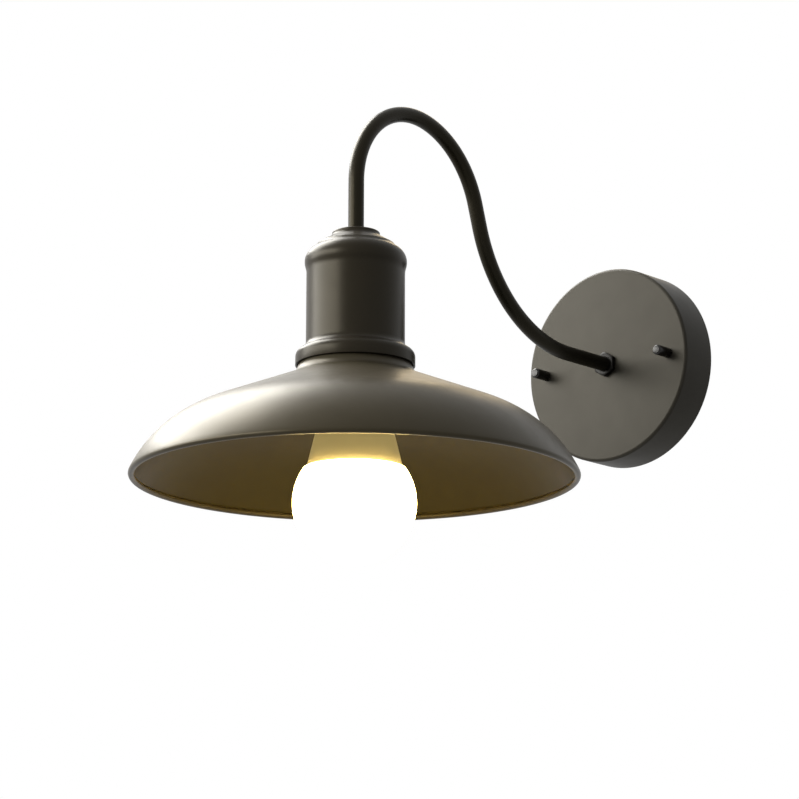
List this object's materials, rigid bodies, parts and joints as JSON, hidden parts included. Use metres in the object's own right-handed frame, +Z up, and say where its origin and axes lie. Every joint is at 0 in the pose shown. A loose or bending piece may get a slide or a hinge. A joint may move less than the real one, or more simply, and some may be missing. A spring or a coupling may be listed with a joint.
{
  "type": "gooseneck wall sconce",
  "caption": "Wall sconce with a round canopy, a gooseneck tube arm, a stepped socket cup, a spun shade with a flared neck and rolled rim, and a screw-in globe bulb.",
  "frame": {"origin": "centre of the bracket's back, on the wall, on the canopy's and the arm's axis", "axes": "+Y into the wall (the lamp stands out towards -Y), +Z up, +X to the right seen from the room"},
  "size_m": [0.258, 0.394, 0.2838],
  "materials": {
    "bronze_paint": "dark bronze satin paint",
    "shade_paint": "dark bronze satin paint, inside and out",
    "zinc_steel": "zinc plated",
    "block_plastic": "natural moulded",
    "terminal_brass": "plain",
    "earth_copper": "tinned",
    "earth_insulation": "green and yellow sleeve",
    "live_insulation": "brown sleeve",
    "neutral_insulation": "blue sleeve",
    "bush_plastic": "moulded",
    "holder_plastic": "moulded, slightly glossy",
    "ceramic": "glazed ceramic look",
    "contact_brass": "plain",
    "cap_metal": "bright nickel look",
    "black_glass": "opaque black glass",
    "tip_solder": "tinned",
    "white_housing": "white moulded",
    "board_aluminium": "white lacquered",
    "driver_fibre": "circuit board",
    "frosted_globe": "frosted, lit"
  },
  "bodies": {
    "fixture": {"canopy": "bronze_paint", "mounting_bracket": "zinc_steel", "bracket_studs": "zinc_steel", "stud_lock_nuts": "zinc_steel", "cap_nuts": "bronze_paint", "arm_tube": "bronze_paint", "arm_nut": "bronze_paint", "arm_lock_washer": "zinc_steel", "arm_lock_nut": "zinc_steel", "tube_bushes": "bush_plastic", "terminal_block": "block_plastic", "terminal_screws": "terminal_brass", "block_fixing_screw": "zinc_steel", "earth_screw": "zinc_steel", "earth_tags": "earth_copper", "earth_wire": "earth_insulation", "live_wire": "live_insulation", "neutral_wire": "neutral_insulation", "socket_cup": "bronze_paint", "cup_lock_nut": "zinc_steel", "lampholder_cap": "holder_plastic", "grub_screw": "zinc_steel", "lampholder_body": "holder_plastic", "shade_ring": "holder_plastic", "contact_carrier": "ceramic", "holder_screws": "terminal_brass", "screw_shell": "contact_brass", "centre_contact": "contact_brass", "shade": "shade_paint"},
    "bulb_tip": {"bulb_contact": "tip_solder", "bulb_insulator": "black_glass"},
    "bulb": {"bulb_screw_cap": "cap_metal", "bulb_housing": "white_housing", "led_board": "board_aluminium", "driver_board": "driver_fibre", "bulb_diffuser": "frosted_globe"}
  },
  "joints": [
    {"name": "bulb_travel", "type": "slide", "parent": "fixture", "child": "bulb_tip", "axis": [0, 0, -1], "range_m": [0, 0.01815]},
    {"name": "bulb_turn", "type": "hinge", "parent": "bulb_tip", "child": "bulb", "pos_m": [0, -0.265, 0], "axis": [0, 0, -1], "range_deg": [0, 1800]}
  ],
  "couplings": [
    {"joint": "bulb_travel", "follows": "bulb_turn", "m_per_rad": 0.00057757}
  ]
}
